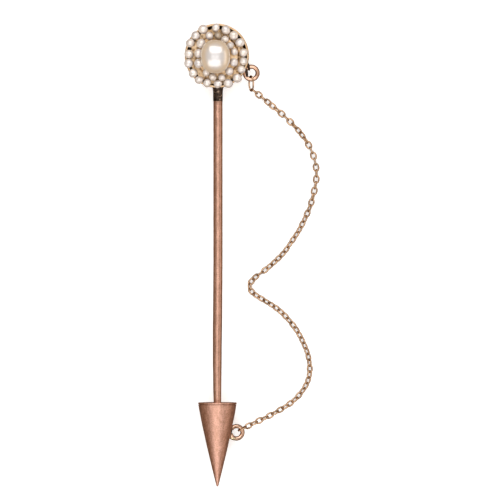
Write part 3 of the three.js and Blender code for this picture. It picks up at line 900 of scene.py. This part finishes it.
# the chain's centre line from the head's end link to the cap's, in mm
route = [
    (5.42, -5.12, 1.42), (5.85, -5.45, 1.22), (6.45, -5.95, 0.98), (7.7, -6.95, 0.68), (9.2, -8.2, 0.56),
    (10.6, -9.4, 0.56), (12.0, -10.8, 0.56), (13.2, -12.2, 0.56), (14.3, -13.9, 0.56), (15.0, -15.5, 0.56),
    (15.4, -17.4, 0.56), (15.4, -19.3, 0.56), (15.0, -21.3, 0.56), (14.5, -23.2, 0.56), (13.7, -25.1, 0.56),
    (12.7, -27.1, 0.56), (11.5, -28.9, 0.56), (10.4, -30.5, 0.56), (9.0, -31.9, 0.56), (7.5, -33.2, 0.56),
    (6.1, -34.2, 0.56), (5.2, -35.1, 0.56), (4.9, -35.9, 0.56), (5.5, -36.8, 0.56), (6.5, -37.5, 0.56),
    (8.0, -38.4, 0.56), (9.6, -39.5, 0.56), (11.1, -41.0, 0.56), (12.4, -42.7, 0.56), (13.4, -44.6, 0.56),
    (14.1, -46.4, 0.56), (14.4, -48.3, 0.56), (14.3, -49.9, 0.56), (13.7, -51.4, 0.58), (12.7, -52.8, 0.68),
    (11.4, -54.0, 0.86), (10.0, -54.9, 1.05), (8.2, -55.9, 1.32), (6.0, -56.95, 1.66), (4.45, -57.7, 1.92),
]
# how far the chain is twisted, in degrees, at some of its links; between them the twist changes evenly
twist = [(0, 90), (1.5, 90), (3.5, 45), (6, 0), (8, 0), (10.5, -45), (13, -90), (17, -90), (22, -80),
         (27, -45), (36, -40), (38, -80), (40, -30), (44, -45), (60, -50), (68, -25), (75, -20)]
endLinks = {
    "upper": {"node": "upper_end_link", "centre": (5.26, -4.2, 1.95), "along": (-0.02, -0.93, -0.36),
              "roll": 60, "length": 2.68, "width": 1.56, "wire": 0.13, "squareness": 2.1},
    "lower": {"node": "lower_end_link", "centre": (3.87, -57.94, 2.02), "along": (-0.88, -0.46, 0.06),
              "roll": 80, "length": 1.62, "width": 1.34, "wire": 0.125, "squareness": 2.3},
}


def routeCurve(points, steps=60):
    # centripetal Catmull-Rom: between two points, a cubic whose end slopes come from the neighbours, each
    # weighted by the square root of its distance; the ends lean on a mirrored point
    p = np.array(points, float)
    p = np.vstack([2 * p[0] - p[1], p, 2 * p[-1] - p[-2]])
    d = np.sqrt(np.linalg.norm(np.diff(p, axis=0), axis=1))[:, None]
    a, b, c = d[:-2], d[1:-1], d[2:]
    p0, p1, p2, p3 = p[:-3], p[1:-2], p[2:-1], p[3:]
    slope1 = ((p1 - p0) / a - (p2 - p0) / (a + b) + (p2 - p1) / b) * b
    slope2 = ((p2 - p1) / b - (p3 - p1) / (b + c) + (p3 - p2) / c) * b
    t = np.linspace(0, 1, steps, endpoint=False)[None, :, None]
    cubic = 2 * p1 - 2 * p2 + slope1 + slope2
    square = -3 * p1 + 3 * p2 - 2 * slope1 - slope2
    line = p1[:, None] + slope1[:, None] * t + square[:, None] * t ** 2 + cubic[:, None] * t ** 3
    return np.vstack([line.reshape(-1, 3), p[-2]])


def linkGrid(centre, along, roll, values, around=28, sides=9):
    # a closed wire whose centre line is the oval |x/a|^n + |y/b|^n = 1 in the link's own plane
    n = values["squareness"]
    wire = values["wire"]
    a, b = values["length"] / 2 - wire, values["width"] / 2 - wire
    along = np.array(along, float) / np.linalg.norm(along)
    flat = np.cross([0.0, 0.0, 1.0], along)
    flat /= np.linalg.norm(flat)
    c, s = math.cos(math.radians(roll)), math.sin(math.radians(roll))
    flat, up = flat * c + np.cross(along, flat) * s, np.cross(along, flat) * c - flat * s
    turn = np.linspace(0, 2 * np.pi, around, endpoint=False)
    cu, su = np.cos(turn), np.sin(turn)
    x, y = a * np.sign(cu) * np.abs(cu) ** (2 / n), b * np.sign(su) * np.abs(su) ** (2 / n)
    slope = np.stack([np.roll(x, -1) - np.roll(x, 1), np.roll(y, -1) - np.roll(y, 1)], -1)
    slope /= np.linalg.norm(slope, axis=1, keepdims=True)
    path = np.array(centre) + x[:, None] * along + y[:, None] * flat
    across = slope[:, 1:] * along - slope[:, :1] * flat
    return sweep(path, across, np.tile(up, (around, 1)), wire, sides)


def chainPieces(values):
    # link i lies on the chord from i to i + 1 pitches along the route, a quarter turn from its neighbours
    line = routeCurve(route)
    reach = np.r_[0, np.cumsum(np.linalg.norm(np.diff(line, axis=0), axis=1))]
    count = values["links"]
    stations = np.linspace(0, reach[-1], count + 1)
    joints = np.stack([np.interp(stations, reach, line[:, k]) for k in range(3)], -1)
    twistAt = np.interp(np.arange(count), *np.array(twist).T)
    draw = np.random.default_rng(42)
    jitter = draw.uniform(-9, 9, count)
    for k in range(values["stretches"]):
        first = int(math.floor(count * k / values["stretches"] + 0.5))
        last = int(math.floor(count * (k + 1) / values["stretches"] + 0.5))
        grids = []
        for i in range(first, last):
            middle, way = (joints[i] + joints[i + 1]) / 2, joints[i + 1] - joints[i]
            grids.append(linkGrid(middle, way, twistAt[i] + 90 * (i % 2) + jitter[i], values))
        node = "chain_%02d" % (k + 1)
        obj = makePiece("chainLinks%02d" % (k + 1), grids, chainGold, looped=True)
        standFor(obj, node)


def endLinkPieces():
    for name, link in endLinks.items():
        grid = linkGrid(link["centre"], link["along"], link["roll"], link, 48, 14)
        obj = makePiece(name + "EndLink", [grid], chainGold, looped=True)
        standFor(obj, link["node"])


chainPieces(chain)
endLinkPieces()
print("chain made")

# CAD pieces that stay

kept = {"pearl_peg": yellowGold, "cap_guide_tube": yellowGold, "cap_catch_spring": springGold}
for keptNode, keptMaterial in kept.items():
    mesh = frame["nodes"][keptNode].data
    mesh.materials.clear()
    mesh.materials.append(keptMaterial)
print("kept nodes dressed")
